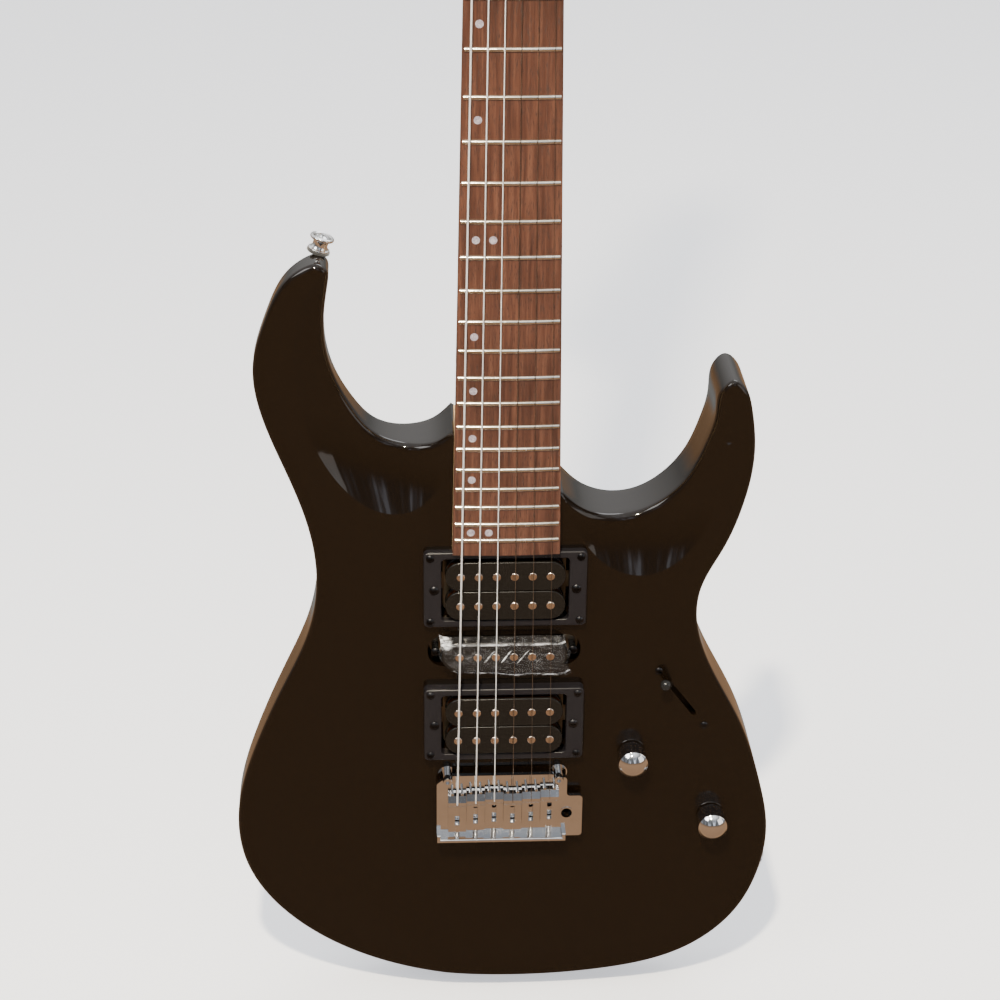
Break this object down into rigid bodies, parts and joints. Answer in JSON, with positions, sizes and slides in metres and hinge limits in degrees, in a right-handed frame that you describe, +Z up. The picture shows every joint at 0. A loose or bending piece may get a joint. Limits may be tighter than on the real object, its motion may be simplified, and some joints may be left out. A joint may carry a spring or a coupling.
{
  "type": "electric guitar",
  "caption": "Solid-body electric guitar with carved cutaways, bolt-on neck, humbucking and single-coil pickups, and a tilting tremolo bridge.",
  "frame": {"origin": "middle of the waist of the strap button at the butt, on the centreline and half way through the body", "axes": "+Z up the neck, front (strings) facing -Y, +X the treble side"},
  "size_m": [0.3085, 0.0607, 0.9766],
  "materials": {
    "body_lacquer": "deep gloss black lacquer over wood",
    "neck_wood": "satin maple",
    "head_lacquer": "gloss black face over maple",
    "board_wood": "open-grained dark rosewood",
    "fret_wire": "polished nickel silver",
    "dot_shell": "pearl grey",
    "nut_bone": "smooth bone white",
    "rod_steel": "plain steel",
    "black_plastic": "satin moulded black",
    "bobbin_plastic": "smooth black",
    "coil_wire": "enamelled copper wire",
    "pole_metal": "polished round tops",
    "pickup_metal": "plain nickel silver sheet",
    "clear_film": "thin clear crumpled film",
    "chrome": "bright chrome",
    "bright_screw": "bright chrome",
    "black_screw": "black zinc",
    "felt": "pressed black felt",
    "zinc_block": "cast metal, plain",
    "spring_steel": "bright spring wire",
    "black_lever": "glossy black tip",
    "wound_string": "round wound nickel",
    "plain_string": "bright plain steel"
  },
  "bodies": {
    "root": {"body": "body_lacquer", "neck": "neck_wood", "truss_rod": "rod_steel", "fingerboard": "board_wood", "frets": "fret_wire", "position_dots": "dot_shell", "nut": "nut_bone", "truss_rod_cover": "black_plastic", "tuner_housings": "chrome", "tuner_bushings": "chrome", "string_trees": "chrome", "wound_strings": "wound_string", "plain_strings": "plain_string", "pickup_rings": "black_plastic", "pickup_bobbins": "bobbin_plastic", "pickup_coils": "coil_wire", "pole_pieces": "pole_metal", "pickup_baseplates": "pickup_metal", "pickup_magnets": "zinc_block", "middle_pickup_cover": "bobbin_plastic", "pickup_height_screws": "black_screw", "pickup_height_springs": "spring_steel", "protective_film": "clear_film", "control_pots": "zinc_block", "selector_frame": "spring_steel", "jack_plate": "chrome", "output_jack": "zinc_block", "panel_nuts": "chrome", "control_cover": "black_plastic", "tone_capacitor": "black_plastic", "pivot_posts": "chrome", "post_bushings": "chrome", "tremolo_springs": "spring_steel", "spring_claw": "spring_steel", "spring_cover": "black_plastic", "strap_button_washers": "felt", "strap_buttons": "chrome", "neck_ferrules": "chrome", "bright_screws": "bright_screw", "small_black_screws": "black_screw"},
    "tremolo": {"tremolo_plate": "chrome", "sustain_block": "zinc_block", "saddles": "chrome", "saddle_screws": "bright_screw", "intonation_springs": "spring_steel"},
    "volume_knob": {"volume_knob": "chrome"},
    "tone_knob": {"tone_knob": "chrome"},
    "selector": {"selector_lever": "black_lever"},
    "post_1": {"tuner_post_1": "chrome"},
    "button_1": {"tuner_button_1": "chrome"},
    "post_2": {"tuner_post_2": "chrome"},
    "button_2": {"tuner_button_2": "chrome"},
    "post_3": {"tuner_post_3": "chrome"},
    "button_3": {"tuner_button_3": "chrome"},
    "post_4": {"tuner_post_4": "chrome"},
    "button_4": {"tuner_button_4": "chrome"},
    "post_5": {"tuner_post_5": "chrome"},
    "button_5": {"tuner_button_5": "chrome"},
    "post_6": {"tuner_post_6": "chrome"},
    "button_6": {"tuner_button_6": "chrome"}
  },
  "joints": [
    {"name": "tremolo_tilt", "type": "hinge", "parent": "root", "child": "tremolo", "pos_m": [0, -0.0265, 0.1466], "axis": [1, 0, 0], "range_deg": [-10, 3], "stiffness_Nm_per_rad": 12, "deforming": ["tremolo_springs", "wound_strings", "plain_strings"]},
    {"name": "volume_turn", "type": "hinge", "parent": "root", "child": "volume_knob", "pos_m": [0.0733, -0.021, 0.1606], "axis": [0, -1, 0], "range_deg": [-270, 0]},
    {"name": "tone_turn", "type": "hinge", "parent": "root", "child": "tone_knob", "pos_m": [0.1206, -0.021, 0.1173], "axis": [0, -1, 0], "range_deg": [-270, 0]},
    {"name": "selector_swing", "type": "hinge", "parent": "root", "child": "selector", "pos_m": [0.1006, -0.004, 0.1964], "axis": [0.7986, 0, 0.6018], "range_deg": [0, 68]},
    {"name": "button_1_turn", "type": "hinge", "parent": "root", "child": "button_1", "pos_m": [-0.02036, -0.0055, 0.81435], "axis": [-0.9632, 0, 0.2689], "continuous": true},
    {"name": "post_1_turn", "type": "hinge", "parent": "root", "child": "post_1", "pos_m": [-0.0185, -0.0245, 0.821], "axis": [0, -1, 0], "continuous": true},
    {"name": "button_2_turn", "type": "hinge", "parent": "root", "child": "button_2", "pos_m": [-0.01363, -0.0055, 0.83843], "axis": [-0.9632, 0, 0.2689], "continuous": true},
    {"name": "post_2_turn", "type": "hinge", "parent": "root", "child": "post_2", "pos_m": [-0.01178, -0.0245, 0.84508], "axis": [0, -1, 0], "continuous": true},
    {"name": "button_3_turn", "type": "hinge", "parent": "root", "child": "button_3", "pos_m": [-0.00691, -0.0055, 0.86251], "axis": [-0.9632, 0, 0.2689], "continuous": true},
    {"name": "post_3_turn", "type": "hinge", "parent": "root", "child": "post_3", "pos_m": [-0.00505, -0.0245, 0.86916], "axis": [0, -1, 0], "continuous": true},
    {"name": "button_4_turn", "type": "hinge", "parent": "root", "child": "button_4", "pos_m": [-0.00019, -0.0055, 0.88659], "axis": [-0.9632, 0, 0.2689], "continuous": true},
    {"name": "post_4_turn", "type": "hinge", "parent": "root", "child": "post_4", "pos_m": [0.00167, -0.0245, 0.89324], "axis": [0, -1, 0], "continuous": true},
    {"name": "button_5_turn", "type": "hinge", "parent": "root", "child": "button_5", "pos_m": [0.00654, -0.0055, 0.91067], "axis": [-0.9632, 0, 0.2689], "continuous": true},
    {"name": "post_5_turn", "type": "hinge", "parent": "root", "child": "post_5", "pos_m": [0.00839, -0.0245, 0.91732], "axis": [0, -1, 0], "continuous": true},
    {"name": "button_6_turn", "type": "hinge", "parent": "root", "child": "button_6", "pos_m": [0.01326, -0.0055, 0.93475], "axis": [-0.9632, 0, 0.2689], "continuous": true},
    {"name": "post_6_turn", "type": "hinge", "parent": "root", "child": "post_6", "pos_m": [0.01511, -0.0245, 0.9414], "axis": [0, -1, 0], "continuous": true}
  ],
  "couplings": [
    {"joint": "post_1_turn", "follows": "button_1_turn", "ratio": 0.071429},
    {"joint": "post_2_turn", "follows": "button_2_turn", "ratio": 0.071429},
    {"joint": "post_3_turn", "follows": "button_3_turn", "ratio": 0.071429},
    {"joint": "post_4_turn", "follows": "button_4_turn", "ratio": 0.071429},
    {"joint": "post_5_turn", "follows": "button_5_turn", "ratio": 0.071429},
    {"joint": "post_6_turn", "follows": "button_6_turn", "ratio": 0.071429}
  ]
}
